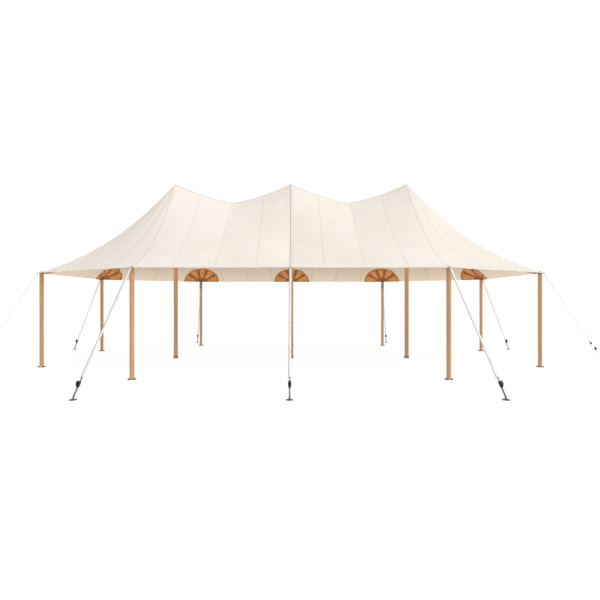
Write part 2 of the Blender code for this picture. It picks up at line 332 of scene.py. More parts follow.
def rodShape(radius, length, sides, matrix, ease, finish=0):
    bm = bmesh.new()
    bmesh.ops.create_cone(bm, cap_ends=True, segments=sides, radius1=radius, radius2=radius, depth=length)
    rims = [edge for edge in bm.edges if any(len(face.verts) > 4 for face in edge.link_faces)]
    bmesh.ops.bevel(bm, geom=rims, offset=ease, affect="EDGES", segments=2, profile=0.5, material=-1)
    return finishShape(bm, finish, matrix)


def newFinish(name, colour, roughness, inputs=None):
    finish = bpy.data.materials.new(name)
    finish.use_nodes = True
    finish.diffuse_color = (*colour, 1.0)
    shader = finish.node_tree.nodes["Principled BSDF"]
    for socket, value in {"Base Color": (*colour, 1.0), "Roughness": roughness, **(inputs or {})}.items():
        shader.inputs[socket].default_value = value
    return finish


def addNode(owner, kind, inputs=None, **settings):
    # a node in a material or the world, with values or other nodes' sockets for its inputs
    made = owner.node_tree.nodes.new(kind)
    for name, value in settings.items():
        setattr(made, name, value)
    for name, value in (inputs or {}).items():
        if isinstance(value, bpy.types.NodeSocket):
            owner.node_tree.links.new(value, made.inputs[name])
        else:
            made.inputs[name].default_value = value
    return made


def toShader(finish, name, socket):
    finish.node_tree.links.new(socket, finish.node_tree.nodes["Principled BSDF"].inputs[name])


def mathNode(finish, operation, first, second=0.0):
    return addNode(finish, "ShaderNodeMath", {0: first, 1: second}, operation=operation).outputs[0]


def weightedSum(finish, *pairs):
    shares = [mathNode(finish, "MULTIPLY", socket, weight) for socket, weight in pairs]
    total = shares[0]
    for share in shares[1:]:
        total = mathNode(finish, "ADD", total, share)
    return total


def mixColours(finish, factor, first, second, blend="MIX"):
    inputs = {0: factor, 6: first, 7: second}   # the sockets that mix colours
    return addNode(finish, "ShaderNodeMix", inputs, data_type="RGBA", blend_type=blend).outputs[2]


def colourRamp(finish, factor, stops):
    made = addNode(finish, "ShaderNodeValToRGB", {"Fac": factor})
    elements = made.color_ramp.elements
    while len(elements) < len(stops):
        elements.new(0.5)
    for element, (place, colour) in zip(elements, stops):
        element.position = place
        element.color = (*colour, 1.0)
    return made.outputs["Color"]


def splitPlace(finish, coordinates):
    # X, Y and Z on the object, or X across and Y along its UV map
    place = addNode(finish, "ShaderNodeTexCoord").outputs[coordinates]
    return addNode(finish, "ShaderNodeSeparateXYZ", {"Vector": place}).outputs


def stretchedPlace(finish, stretch):
    place = addNode(finish, "ShaderNodeTexCoord").outputs["Object"]
    return addNode(finish, "ShaderNodeMapping", {"Vector": place, "Scale": stretch}).outputs["Vector"]


def noiseAt(finish, scale, detail, stretch=(1, 1, 1)):
    inputs = {"Vector": stretchedPlace(finish, stretch), "Scale": scale, "Detail": detail}
    return addNode(finish, "ShaderNodeTexNoise", inputs).outputs["Fac"]


def bumpFrom(finish, height, distance, strength):
    made = addNode(finish, "ShaderNodeBump", {"Height": height, "Distance": distance, "Strength": strength})
    toShader(finish, "Normal", made.outputs["Normal"])


# Finishes.
colours = {
    "clothTop": (0.885, 0.823, 0.769), "clothTopShade": (0.835, 0.768, 0.705),
    # painted shade and painted glow: the underside is a darker, warmer copy of the cream top, for the shade
    # under the roof and light shining through the cloth
    "clothUnderPaintedShade": (0.790, 0.655, 0.505), "clothUnderShade": (0.730, 0.600, 0.450),
    # the seam tape's underside is painted darker still, for the light the doubled tape keeps from shining
    # through
    "seamTop": (0.850, 0.783, 0.722), "seamUnderPaintedShade": (0.560, 0.455, 0.355), "stitch": (0.52, 0.46, 0.37),
    # painted shadow: the lacing cord's dark grey stands for the shadow under the flap's raised edge
    "laceCordPaintedShadow": (0.300, 0.292, 0.280),
    "petal": (0.500, 0.200, 0.058), "petalLight": (0.600, 0.262, 0.086),
    "ray": (0.310, 0.100, 0.016), "hub": (0.290, 0.112, 0.030), "rim": (0.370, 0.150, 0.040),
    "band": (0.290, 0.140, 0.062), "edging": (0.780, 0.510, 0.290),
    "timberDark": (0.370, 0.172, 0.071), "timber": (0.620, 0.338, 0.152),
    "timberLight": (0.760, 0.460, 0.230),
    "webbing": (0.900, 0.895, 0.885), "webbingShade": (0.820, 0.815, 0.805),
    # painted shade: the grey along one edge of the front straps stands for their shaded side
    "paintedShadeEdge": (0.330, 0.330, 0.335),
    "black": (0.005, 0.005, 0.006), "blackWorn": (0.020, 0.020, 0.021), "darkSteel": (0.016, 0.016, 0.017),
    "steel": (0.165, 0.155, 0.142), "steelLight": (0.250, 0.240, 0.225), "zinc": (0.235, 0.232, 0.226),
    "dullSteel": (0.330, 0.250, 0.185), "dullLight": (0.420, 0.330, 0.255),
}


def darker(colour, share=0.8):
    return tuple(share * c for c in colour)


sailcloth = {
    "roughness": 0.82, "sheen": 0.12, "sheenRoughness": 0.5, "specular": 0.25,
    "cloudScale": 0.55, "cloudStretch": (1, 1, 1.4), "cloudShare": 0.75, "fleckScale": 9.0,
    "shadeAt": 0.30, "mainAt": 0.58,
    "threadScale": 240.0, "threadHeight": 0.0004, "threadStrength": 0.5,
    # painted shade under the roof: the height over which it deepens, and its darkest tone
    "paintedShadeRise": 0.42, "paintedShadeTone": (0.80, 0.80, 0.79),
}


def makeSailcloth(name, main, shade, paintedShadeDeeper):
    finish = newFinish(name, main, sailcloth["roughness"], {
        "Sheen Weight": sailcloth["sheen"], "Sheen Roughness": sailcloth["sheenRoughness"],
        "Specular IOR Level": sailcloth["specular"]})
    clouds = noiseAt(finish, sailcloth["cloudScale"], 4.0, sailcloth["cloudStretch"])
    flecks = noiseAt(finish, sailcloth["fleckScale"], 5.0)
    mixed = weightedSum(finish, (clouds, sailcloth["cloudShare"]), (flecks, 1 - sailcloth["cloudShare"]))
    tone = colourRamp(finish, mixed, [(sailcloth["shadeAt"], shade), (sailcloth["mainAt"], main)])
    if paintedShadeDeeper:
        # painted shade: deeper under the roof the cloth is painted darker, a tone for each height, eave
        # first
        level = addNode(finish, "ShaderNodeMapRange", {
            "Value": splitPlace(finish, "Object")["Z"], "From Min": eaveHeight,
            "From Max": eaveHeight + sailcloth["paintedShadeRise"]}).outputs["Result"]
        paintedShadeRamp = colourRamp(finish, level, [(0.0, (1, 1, 1)), (1.0, sailcloth["paintedShadeTone"])])
        tone = mixColours(finish, 1.0, tone, paintedShadeRamp, "MULTIPLY")
    toShader(finish, "Base Color", tone)
    thread = noiseAt(finish, sailcloth["threadScale"], 1.0)
    bumpFrom(finish, thread, sailcloth["threadHeight"], sailcloth["threadStrength"])
    return finish


clothTop = makeSailcloth("creamSailcloth", colours["clothTop"], colours["clothTopShade"], False)
# the underside's darker, warmer colours are painted shade and painted light through the cloth
clothUnderPaintedShade = makeSailcloth("sailclothUndersidePaintedShade", colours["clothUnderPaintedShade"], colours["clothUnderShade"], True)

stitching = {"roughness": 0.80, "length": 0.006, "filled": 0.68, "thread": 0.0011, "height": 0.0006,
             "strength": 0.6, "seamRows": 0.008, "hemRows": 0.014, "shadeAt": 0.35, "mainAt": 0.65}


def makeStitched(name, main, shade, rowOffset):
    # sewn tape: v runs along it in metres, u across, with lines of stitches a row's offset apart
    finish = newFinish(name, main, stitching["roughness"])
    place = splitPlace(finish, "UV")
    folded = mathNode(finish, "PINGPONG", place["X"], rowOffset)
    fromRow = mathNode(finish, "ABSOLUTE", mathNode(finish, "SUBTRACT", folded, rowOffset / 2))
    onRow = mathNode(finish, "LESS_THAN", fromRow, stitching["thread"])
    inStitch = mathNode(finish, "FRACT", mathNode(finish, "DIVIDE", place["Y"], stitching["length"]))
    dash = mathNode(finish, "LESS_THAN", inStitch, stitching["filled"])
    stitched = mathNode(finish, "MULTIPLY", onRow, dash)
    stops = [(stitching["shadeAt"], shade), (stitching["mainAt"], main)]
    plain = colourRamp(finish, noiseAt(finish, 3.0, 4.0), stops)
    toShader(finish, "Base Color", mixColours(finish, stitched, plain, (*colours["stitch"], 1.0)))
    bumpFrom(finish, stitched, stitching["height"], stitching["strength"])
    return finish


seamRows, hemRows = stitching["seamRows"], stitching["hemRows"]
seamTape = makeStitched("seamTape", colours["seamTop"], colours["clothTopShade"], seamRows)
# the under tapes carry the underside's painted shade
seamTapeUnder = makeStitched("seamTapeUnder", colours["seamUnderPaintedShade"], darker(colours["seamUnderPaintedShade"]), seamRows)
hemTape = makeStitched("hemTape", colours["clothTop"], colours["clothTopShade"], hemRows)
# painted shade, as on the cloth's underside
hemTapeUnder = makeStitched("hemTapeUnder", colours["clothUnderPaintedShade"], colours["clothUnderShade"], hemRows)

patchCloth = {"roughness": 0.72, "specular": 0.12, "cloudScale": 5.0, "otherAt": 0.35, "mainAt": 0.62,
              "grainScale": 260.0, "grainHeight": 0.0005, "grainStrength": 0.6}


def makePatchCloth(name, main, other):
    finish = newFinish(name, main, patchCloth["roughness"], {"Specular IOR Level": patchCloth["specular"]})
    cloudy = noiseAt(finish, patchCloth["cloudScale"], 4.0)
    stops = [(patchCloth["otherAt"], other), (patchCloth["mainAt"], main)]
    toShader(finish, "Base Color", colourRamp(finish, cloudy, stops))
    grainy = noiseAt(finish, patchCloth["grainScale"], 2.0)
    bumpFrom(finish, grainy, patchCloth["grainHeight"], patchCloth["grainStrength"])
    return finish


fanParts = {"petal": 0, "ray": 1, "hub": 2, "rim": 3, "edging": 4, "band": 5}
fanFinishes = [
    makePatchCloth("fanPetal", colours["petalLight"], colours["petal"]),
    makePatchCloth("fanRay", colours["ray"], darker(colours["ray"])),
    makePatchCloth("fanHub", colours["hub"], darker(colours["hub"])),
    makePatchCloth("fanRim", colours["rim"], darker(colours["rim"])),
    makePatchCloth("fanEdging", colours["edging"], darker(colours["edging"], 0.9)),
    makePatchCloth("fanBand", colours["band"], darker(colours["band"])),
]

grain = {
    "roughness": 0.42, "coat": 0.25, "coatRoughness": 0.28,
    "slowScale": 3.2, "slowStretch": (1.0, 1.0, 0.16), "slowShare": 0.28,
    "fineScale": 60.0, "fineStretch": (1.0, 1.0, 0.035), "fineShare": 0.34,
    "waveStretch": (1.0, 0.85, 0.05), "waveShare": 0.38,
    "wave": {"Scale": 13.0, "Distortion": 5.5, "Detail": 2.5, "Detail Scale": 0.6},
    "toneAt": (0.20, 0.42, 0.72), "polish": ((0.3, 0.50), (0.7, 0.36)), "height": 0.0012, "strength": 0.35,
}


def makeTimber():
    finish = newFinish("varnishedTimber", colours["timber"], grain["roughness"], {
        "Coat Weight": grain["coat"], "Coat Roughness": grain["coatRoughness"]})
    slow = noiseAt(finish, grain["slowScale"], 3.0, grain["slowStretch"])
    fine = noiseAt(finish, grain["fineScale"], 4.0, grain["fineStretch"])
    bent = addNode(finish, "ShaderNodeTexWave", {
        **grain["wave"], "Vector": stretchedPlace(finish, grain["waveStretch"])},
        wave_type="BANDS", bands_direction="X").outputs["Fac"]
    mixed = weightedSum(finish, (fine, grain["fineShare"]), (slow, grain["slowShare"]),
                        (bent, grain["waveShare"]))
    tones = (colours["timberDark"], colours["timber"], colours["timberLight"])
    toShader(finish, "Base Color", colourRamp(finish, mixed, list(zip(grain["toneAt"], tones))))
    polish = [(place, (level,) * 3) for place, level in grain["polish"]]
    toShader(finish, "Roughness", colourRamp(finish, fine, polish))
    bumpFrom(finish, mixed, grain["height"], grain["strength"])
    return finish


timber = makeTimber()

weave = {"roughness": 0.78, "sheen": 0.2, "herringbone": 0.0062, "ribRate": 1900.0, "ribShare": 0.22,
         "soilScale": 2.2, "shadeAt": 0.28, "mainAt": 0.55, "height": 0.0006, "strength": 0.5}


def makeWebbing(name, main, shade):
    # herringbone ribs across a woven strap, u across and v along in metres
    finish = newFinish(name, main, weave["roughness"], {"Sheen Weight": weave["sheen"]})
    place = splitPlace(finish, "UV")
    zigzag = mathNode(finish, "PINGPONG", place["X"], weave["herringbone"])
    phase = mathNode(finish, "MULTIPLY", mathNode(finish, "ADD", place["Y"], zigzag), weave["ribRate"])
    height = mathNode(finish, "ADD", mathNode(finish, "MULTIPLY", mathNode(finish, "SINE", phase), 0.5), 0.5)
    soiled = noiseAt(finish, weave["soilScale"], 5.0)
    tone = weightedSum(finish, (height, weave["ribShare"]), (soiled, 1 - weave["ribShare"]))
    stops = [(weave["shadeAt"], shade), (weave["mainAt"], main)]
    toShader(finish, "Base Color", colourRamp(finish, tone, stops))
    bumpFrom(finish, height, weave["height"], weave["strength"])
    return finish


metal = {"wornFrom": 0.42, "wornTo": 0.72, "smoother": 0.10, "rougher": 0.12, "scuffs": (0.3, 0.7),
         "height": 0.0004, "strength": 0.3}


def makeMetal(name, main, worn, roughness, metallic, scale):
    finish = newFinish(name, main, roughness, {"Metallic": metallic})
    blotch = noiseAt(finish, scale, 6.0)
    stops = [(metal["wornFrom"], main), (metal["wornTo"], worn)]
    toShader(finish, "Base Color", colourRamp(finish, blotch, stops))
    levels = ((roughness - metal["smoother"],) * 3, (roughness + metal["rougher"],) * 3)
    scuffs = list(zip(metal["scuffs"], levels))
    toShader(finish, "Roughness", colourRamp(finish, noiseAt(finish, 4 * scale, 3.0), scuffs))
    bumpFrom(finish, blotch, metal["height"], metal["strength"])
    return finish


webbing = makeWebbing("whiteWebbing", colours["webbing"], colours["webbingShade"])
# painted shade along one edge of the front straps, for their shaded side
paintedShadeEdge = makeWebbing("webbingPaintedShadeEdge", colours["paintedShadeEdge"], darker(colours["paintedShadeEdge"]))
blackWebbing = makeWebbing("blackWebbing", colours["blackWorn"], colours["black"])
blackCoat = makeMetal("blackCoat", colours["black"], colours["blackWorn"], 0.42, 0.0, 40.0)
greySteel = makeMetal("greySteel", colours["steel"], colours["steelLight"], 0.50, 0.25, 22.0)
zincSteel = makeMetal("zincSteel", colours["zinc"], colours["steelLight"], 0.42, 0.45, 30.0)
darkSteel = makeMetal("darkSteel", colours["darkSteel"], colours["steel"], 0.40, 0.5, 30.0)
dullSteel = makeMetal("dullSteel", colours["dullSteel"], colours["dullLight"], 0.55, 0.1, 22.0)
# a real lacing cord, coloured dark as painted shadow under the flap's edge
laceCordPaintedShadow = newFinish("laceCordPaintedShadow", colours["laceCordPaintedShadow"], 0.85)
print("finishes ready")


# The two canopy halves.

def buildSailcloth(name, side, node):
    strips, rows = lastStep * cloth["columnsPerStep"], cloth["rows"]
    bm = bmesh.new()
    bmesh.ops.create_grid(bm, x_segments=strips, y_segments=rows, size=1.0)
    for vertex in bm.verts:
        column, row = gridPlace(vertex.co, strips, rows)
        vertex.co = roofPoint(side, column / cloth["columnsPerStep"], row / rows)
    bmesh.ops.remove_doubles(bm, verts=bm.verts, dist=10 * tiny["merge"])
    bmesh.ops.recalc_face_normals(bm, faces=bm.faces)
    if sum(face.normal.z for face in bm.faces) < 0:
        bmesh.ops.reverse_faces(bm, faces=bm.faces)
    area = sum(face.calc_area() for face in bm.faces)
    for face in thickened(bm, bm.faces[:], (0, 0, -cloth["thickness"])):
        face.material_index = 1
    return addPiece(name, bm, [clothTop, clothUnderPaintedShade], [node]), area


# Sewn seams: a raised tape on top and one below, over every join between cloth panels.
seam = {"width": 0.024, "hipWidth": 0.032, "height": 0.0014, "sunk": 0.0008, "eased": 0.15,
        "startShare": 0.02, "goreShare": 0.4, "leastGore": 0.01}


def seamLines():
    # each seam as a way to find its step at a slope share, and whether it runs down a hip
    lines = []
    for number in range(len(roof["seamsAtRidge"])):
        lines.append((lambda t, number=number: baySteps * seamShare(number, t), False))
        lines.append((lambda t, number=number: lastStep - baySteps * seamShare(number, t), False))
    for gore in range(endSteps + 1):
        lines.append((lambda t, gore=gore: baySteps + gore, gore % 4 == 0))
    return lines


def tapeRing(left, middle, right, eased, low, high):
    # a tape's section: its edges and back low, its face high
    return [lifted(left, low), lifted(left.lerp(middle, eased), high), lifted(middle, high),
            lifted(right.lerp(middle, eased), high), lifted(right, low), lifted(middle, low)]


def seamRings(side, stepAt, width, low, high):
    rings = []
    for row in range(cloth["rows"] + 1):
        t = row / cloth["rows"]
        if t < seam["startShare"]:
            continue
        s = stepAt(t)
        firstHip, lastHip = s == baySteps, s == lastStep - baySteps
        inEnd = baySteps < s < lastStep - baySteps
        gore = math.pi / endSteps * t * eaveRadius
        half = min(width / 2, seam["goreShare"] * gore) if inEnd or firstHip or lastHip else width / 2
        bayStep = half / (bay / baySteps)
        endStep = half / max(seam["leastGore"], gore)
        before = endStep if inEnd or lastHip else bayStep
        after = endStep if inEnd or firstHip else bayStep
        edges = [roofPoint(side, place, t) for place in (s - before, s, s + after)]
        rings.append(tapeRing(*edges, seam["eased"], low, high))
    return rings


def buildSeams(name, side):
    bm = bmesh.new()
    depth = cloth["thickness"]
    for stepAt, onHip in seamLines():
        width = seam["hipWidth"] if onHip else seam["width"]
        loftRings(bm, seamRings(side, stepAt, width, -seam["sunk"], seam["height"]), 0)
        loftRings(bm, seamRings(side, stepAt, width, seam["sunk"] - depth, -depth - seam["height"]), 1)
    return addPiece(name, bm, [seamTape, seamTapeUnder])


# The eave hem wraps the cloth's edge all the way round each half.
hem = {"width": 0.055, "proud": 0.0016, "roll": 0.004, "samplesPerStep": 6, "underSlope": -0.2}


def buildHem(name, side):
    bm = bmesh.new()
    rings = []
    inner = 1 - hem["width"] / eaveRadius
    top, bottom = hem["proud"], -cloth["thickness"] - hem["proud"]
    for i in range(lastStep * hem["samplesPerStep"] + 1):
        s = i / hem["samplesPerStep"]
        edge, inside = roofPoint(side, s, 1.0), roofPoint(side, s, inner)
        rolled = edge + (edge - inside).normalized() * hem["roll"]
        rings.append([lifted(inside, top), lifted(edge, top), lifted(rolled, (top + bottom) / 2),
                      lifted(edge, bottom), lifted(inside, bottom)])
    loftRings(bm, rings, 0)
    for face in bm.faces:
        if face.normal.z < hem["underSlope"]:
            face.material_index = 1
    return addPiece(name, bm, [hemTape, hemTapeUnder])


# Ridge tape over and under each half's ridge line, from its lacing to the end pole.
ridgeTape = {"halfWidth": 0.045, "samples": 48, "eased": 0.2, "sunk": 0.001, "proud": 0.0018, "under": 0.002}


def buildRidge(name, side):
    bm = bmesh.new()
    t, sunk, depth = ridgeTape["halfWidth"] / eaveRadius, ridgeTape["sunk"], cloth["thickness"]
    layers = ((0, -sunk, ridgeTape["proud"]), (1, sunk - depth, -ridgeTape["under"] - depth))
    for finish, low, high in layers:
        rings = []
        for i in range(ridgeTape["samples"] + 1):
            s = baySteps * i / ridgeTape["samples"]
            places = ((s, t), (s, 0.0), (lastStep - s, t))
            edges = [roofPoint(side, *place) for place in places]
            rings.append(tapeRing(*edges, ridgeTape["eased"], low, high))
        loftRings(bm, rings, finish)
    return addPiece(name, bm, [seamTape, seamTapeUnder])


# A flap covers the lacing between the halves, from the front eave over the ridge to the back eave,
# with the lacing cord showing along its open edge, coloured dark to paint the shadow under the flap's raised
# edge.
flap = {"open": -0.004, "over": 0.075, "lift": 0.013, "rest": 0.0022, "thickness": 0.002,
        "ripple": 0.25, "rippleRate": 9.0, "bendAt": 0.3, "bendLift": 0.45, "restAt": 0.6,
        "cordAt": -0.0105, "cord": 0.0045, "cordSides": 8, "cordRise": 0.6}


def flapStations():
    rows = cloth["rows"]
    front = [(-1, row / rows) for row in range(rows, 0, -1)]
    return front + [(1, row / rows) for row in range(0, rows + 1)]


def lacingPoint(x, facing, t):
    # a place on the roof beside the lacing, at an exact x
    s = abs(x) / bay * baySteps
    point = roofPoint(-1 if x < 0 else 1, s if facing < 0 else lastStep - s, t)
    point.x = x
    return point


def buildFlap():
    bm = bmesh.new()
    rings, cord = [], []
    over, rest = flap["over"], flap["rest"]
    for facing, t in flapStations():
        rippled = 1 - flap["ripple"] + flap["ripple"] * abs(math.sin(flap["rippleRate"] * t + facing))
        lift = flap["lift"] * rippled
        lifts = [(flap["open"], lift), (flap["bendAt"] * over, flap["bendLift"] * lift),
                 (flap["restAt"] * over, rest), (over, rest)]
        under = [lifted(lacingPoint(x, facing, t), rise) for x, rise in lifts]
        rings.append([lifted(point, flap["thickness"]) for point in under] + under[::-1])
        middle = lifted(lacingPoint(flap["cordAt"], facing, t), flap["cordRise"] * flap["cord"])
        cord.append([middle + Vector((a, 0, b)) for a, b in roundProfile(flap["cord"], flap["cordSides"])])
    loftRings(bm, rings, 0)
    loftRings(bm, cord, 1)
    return addPiece("lace_flap", bm, [hemTape, laceCordPaintedShadow])


halves = {}
for half, side in (("left", -1), ("right", 1)):
    sheetPiece, topArea = buildSailcloth(f"sailcloth_{half}", side, f"canopy_{half}")
    trims = [buildSeams(f"seams_{half}", side), buildHem(f"eave_hem_{half}", side),
             buildRidge(f"ridge_tape_{half}", side)]
    halves[half] = (sheetPiece, topArea, trims)
halves["right"][2].append(buildFlap())
print("canopy sewn")


# Fans: shell-shaped reinforcements under the cloth at every guy point.
fan = {
    "halfWidth": 0.64, "endSideWidth": 0.37, "length": 0.89, "edge": 0.050, "pointed": 1.1,
    "endLean": (0.6, 0.8),   # leans to the wider part, on the slanted side
    "petals": 5, "rayShare": 0.36, "petalColumns": 6, "petalRows": 9,
    "hub": 0.40, "hubRows": 7, "rimInner": 0.94, "scallop": 0.07,
    "gap": 0.0012, "thickness": 0.0022, "relief": 0.0030,
    "bandWidth": 0.050, "bandAt": 0.006, "bandReach": 1.02, "bandSamples": 24, "bandClear": 0.0012,
    "bandThickness": 0.003,
}


def cornerAxes(name):
    # a fan's corner, its way in, and its reach along the eave to either side
    side, row = name.split("_")
    corner = eaveCorner(name)
    if side in ("front", "back"):
        facing = 1 if side == "front" else -1
        right, left = Vector((1, 0)), Vector((-1, 0))
        if row == "left":
            left = Vector((-cos30, facing * sin30))
        if row == "right":
            right = Vector((cos30, facing * sin30))
        inward = Vector((0, facing)) if row == "centre" else (left + right).normalized()
        return corner, inward, left * fan["halfWidth"], right * fan["halfWidth"]
    sign = -1 if side == "left" else 1
    facing = 1 if row == "front" else -1
    inward = Vector((-sign * fan["endLean"][0], facing * fan["endLean"][1]))
    alongEnd = Vector((0, facing)) * fan["endSideWidth"]
    alongSlant = Vector((-sign * cos30, -facing * sin30)) * fan["halfWidth"]
    return corner, inward, alongEnd, alongSlant


def fanPlan(axes, share, angle):
    corner, inward, left, right = axes
    sideways = right if angle <= math.pi / 2 else left
    return (corner + sideways * (abs(math.cos(angle)) ** fan["pointed"] * share)
            + inward * (math.sin(angle) * fan["length"] * share))


def fanAngles():
    # column angles, and what each column of faces is: petal or ray
    step = math.pi / fan["petals"]
    ray = fan["rayShare"] * step
    angles, kinds = [0.0], []
    for petal in range(fan["petals"]):
        start = petal * step + (ray / 2 if petal else 0.0)
        end = (petal + 1) * step - (ray / 2 if petal < fan["petals"] - 1 else 0.0)
        for i in range(1, fan["petalColumns"] + 1):
            angles.append(start + (end - start) * i / fan["petalColumns"])
            kinds.append("petal")
        if petal < fan["petals"] - 1:
            angles.append(end + ray)
            kinds.append("ray")
    return angles, kinds


def fanRows(angle):
    # ring shares at an angle: the petals end in scallops
    step = math.pi / fan["petals"]
    fromMiddle = 1.0 if angle >= math.pi else abs((angle % step) / step - 0.5) * 2
    hub, outer = fan["hub"], fan["rimInner"] - fan["scallop"] * fromMiddle ** 2
    shares = [hub * i / fan["hubRows"] for i in range(fan["hubRows"] + 1)]
    shares += [hub + (outer - hub) * i / fan["petalRows"] for i in range(1, fan["petalRows"] + 1)]
    return shares + [1.0, 1.0 + fan["edge"]]


def petalSwell(kinds, column, row, rowCount):
    # petals stand out from the rays and the hub, with a half step at either end
    beside = (kinds[max(0, column - 1)], kinds[min(column, len(kinds) - 1)])
    if "ray" in beside or not fan["hubRows"] < row < rowCount - 1:
        return 0.0
    return fan["relief"] * (0.5 if row in (fan["hubRows"] + 1, rowCount - 2) else 1.0)


def buildFan(name):
    axes = cornerAxes(name)
    angles, kinds = fanAngles()
    columnCount, rowCount = len(angles) - 1, len(fanRows(0.0)) - 1
    bm = bmesh.new()
    bmesh.ops.create_grid(bm, x_segments=columnCount, y_segments=rowCount, size=1.0)
    for face in bm.faces:
        centre = face.calc_center_median()
        column, row = int((centre.x + 1) / 2 * columnCount), int((centre.y + 1) / 2 * rowCount)
        if row < fan["hubRows"]:
            part = "hub"
        elif row >= rowCount - 2:
            part = "rim" if row == rowCount - 2 else "edging"
        else:
            part = kinds[column]
        face.material_index = fanParts[part]
    for vertex in bm.verts:
        column, row = gridPlace(vertex.co, columnCount, rowCount)
        plan = fanPlan(axes, fanRows(angles[column])[row], angles[column])
        drop = cloth["thickness"] + fan["gap"] + petalSwell(kinds, column, row, rowCount)
        vertex.co = lifted(roofAt(plan.x, plan.y), -drop)
    bmesh.ops.remove_doubles(bm, verts=bm.verts, dist=10 * tiny["merge"])
    thickened(bm, bm.faces[:], (0, 0, -fan["thickness"]))
    addFanBand(bm, axes)
    return addPiece(f"corner_fan_{name}", bm, fanFinishes, sharp=50)


def addFanBand(bm, axes):
    # a strip of webbing under the fan, along the eave
    corner, inward, left, right = axes
    rings, samples = [], fan["bandSamples"]
    low = cloth["thickness"] + fan["gap"] + fan["relief"] + fan["bandClear"]
    for i in range(2 * samples + 1):
        reach = (i - samples) / samples * fan["bandReach"]
        sideways = right if reach >= 0 else left
        place = corner + sideways * abs(reach) + inward * fan["bandAt"]
        outer, inner = roofAt(*place), roofAt(*(place + inward * fan["bandWidth"]))
        rings.append([lifted(outer, -low), lifted(inner, -low), lifted(inner, -low - fan["bandThickness"]),
                      lifted(outer, -low - fan["bandThickness"])])
    loftRings(bm, rings, fanParts["band"])


fans = {name: buildFan(name) for name in guyNames}
print("fans sewn")

for half, (sheetPiece, topArea, trims) in halves.items():
    ownFans = [piece for name, piece in fans.items() if half in name.split("_")]
    if half == "right":
        ownFans += [fans["front_centre"], fans["back_centre"]]


# Timber: poles and posts turned smooth, with eased ends, standing in steel feet.
post = {"topEase": 0.020, "baseEase": 0.003, "sides": 40, "corner": 6, "top": 0.010,
        "pinRadius": 0.009, "pinTop": 0.020, "pinChamfer": 0.004, "pinTip": 0.7, "pinFoot": 0.003,
        "washerRadius": 0.024, "washer": 0.005, "washerChamfer": 0.002,
        "sleeveHeight": 0.26, "sleeve": 0.0020, "sleeveAt": 0.004, "bandClear": 0.0004}
pole = {"tipRadius": 0.012, "tipEase": 0.010, "tipShare": 0.6, "taper": 0.22, "overShoulder": 0.045,
        "timberOver": 0.035,
        "collar": 0.008, "bandTop": 0.010, "bandHeight": 0.035, "band": 0.0025}
shoe = {"ease": 0.004, "play": 0.0015, "proud": 0.0004, "boltRadius": 0.009, "boltHeight": 0.006,
        "boltEase": 0.0012, "boltAt": 0.031, "washer": 0.0016, "washerEase": 0.0004,
        "washerSize": 1.5, "boltSides": 6}
socket = {"play": 0.0012, "wall": 0.0063, "chamfer": 0.002, "lip": 0.0008, "screws": 6,
          "screwRadius": 0.0055, "screwHeight": 0.003, "screwEase": 0.001, "screwLevel": 0.042}


def turnedTimber(node, top, ease):
    low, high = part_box(node)
    radius, base, corner = (high.x - low.x) / 2, post["baseEase"], post["corner"]
    outline = [(0, top), (radius - ease, top)]
    outline += [(radius - ease + ease * math.sin(a), top - ease + ease * math.cos(a))
                for a in (math.pi / 2 * i / corner for i in range(1, corner + 1))]
    outline += [(radius, low.z + base), (radius - base, low.z), (0, low.z)]
    at = footOf(node)
    return turnedShape(outline, post["sides"], at), at, radius


def footOf(node):
    # the place on the ground under a node's middle
    centre = middleOf(node)
    return Matrix.Translation((centre.x, centre.y, 0))


def bandShape(inner, thickness, top, height, matrix, finish):
    # a ring around a post, from its top edge down
    outer, ease = inner + thickness, 0.3 * thickness
    outline = [(inner, top), (outer - ease, top), (outer, top - ease), (outer, top - height + ease),
               (outer - ease, top - height), (inner, top - height)]
    return turnedShape(outline, post["sides"], matrix, finish, closed=True)


def buildPost(name):
    # the timber, with the pin and washer that hold the cloth, and a sleeve at the back
    node = f"side_post_{name}"
    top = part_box(node)[1].z + post["top"]
    bm, at, radius = turnedTimber(node, top, post["topEase"])
    roofTop = roofAt(at.translation.x, at.translation.y).z
    pin, washer, chamfer = post["pinRadius"], post["washerRadius"], post["washerChamfer"]
    pinTop, washerTop = roofTop + post["pinTop"], roofTop + post["washer"]
    metal = [(0, pinTop), (post["pinTip"] * pin, pinTop), (pin, pinTop - post["pinChamfer"]),
             (pin, washerTop + post["pinFoot"]), (washer - chamfer, washerTop),
             (washer, washerTop - chamfer), (washer, roofTop + tiny["lift"]), (pin, roofTop + tiny["lift"]),
             (pin, top + tiny["clear"]), (0, top + tiny["clear"])]
    joinShape(bm, turnedShape(metal, facets["grip"], at, 1))
    if name.startswith("back"):
        joinShape(bm, bandShape(radius + post["bandClear"], post["sleeve"], top - post["sleeveAt"],
                                post["sleeveHeight"], at, 2))
    return addPiece(f"timber_post_{name}", bm, [timber, greySteel, dullSteel], [node])


def buildPole(name):
    # the timber up to its shoulder, then a steel collar and spike to the peak
    node = f"centre_pole_{name}"
    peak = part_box(node)[1].z
    shoulder = peak + pole["overShoulder"] - pole["taper"]
    timberTop = shoulder + pole["timberOver"]
    bm, at, radius = turnedTimber(node, timberTop, post["topEase"])
    neck, tip, collarTop = radius - post["topEase"], pole["tipRadius"], timberTop + pole["collar"]
    under = timberTop + tiny["clear"]
    spike = [(0, peak), (tip * pole["tipShare"], peak), (tip, peak - pole["tipEase"]), (tip, collarTop),
             (neck, collarTop), (neck, under), (0, under)]
    joinShape(bm, turnedShape(spike, facets["spool"], at, 1))
    joinShape(bm, bandShape(radius + post["bandClear"], pole["band"], shoulder - pole["bandTop"],
                            pole["bandHeight"], at, 1))
    return addPiece(f"timber_pole_{name}", bm, [timber, zincSteel], [node])


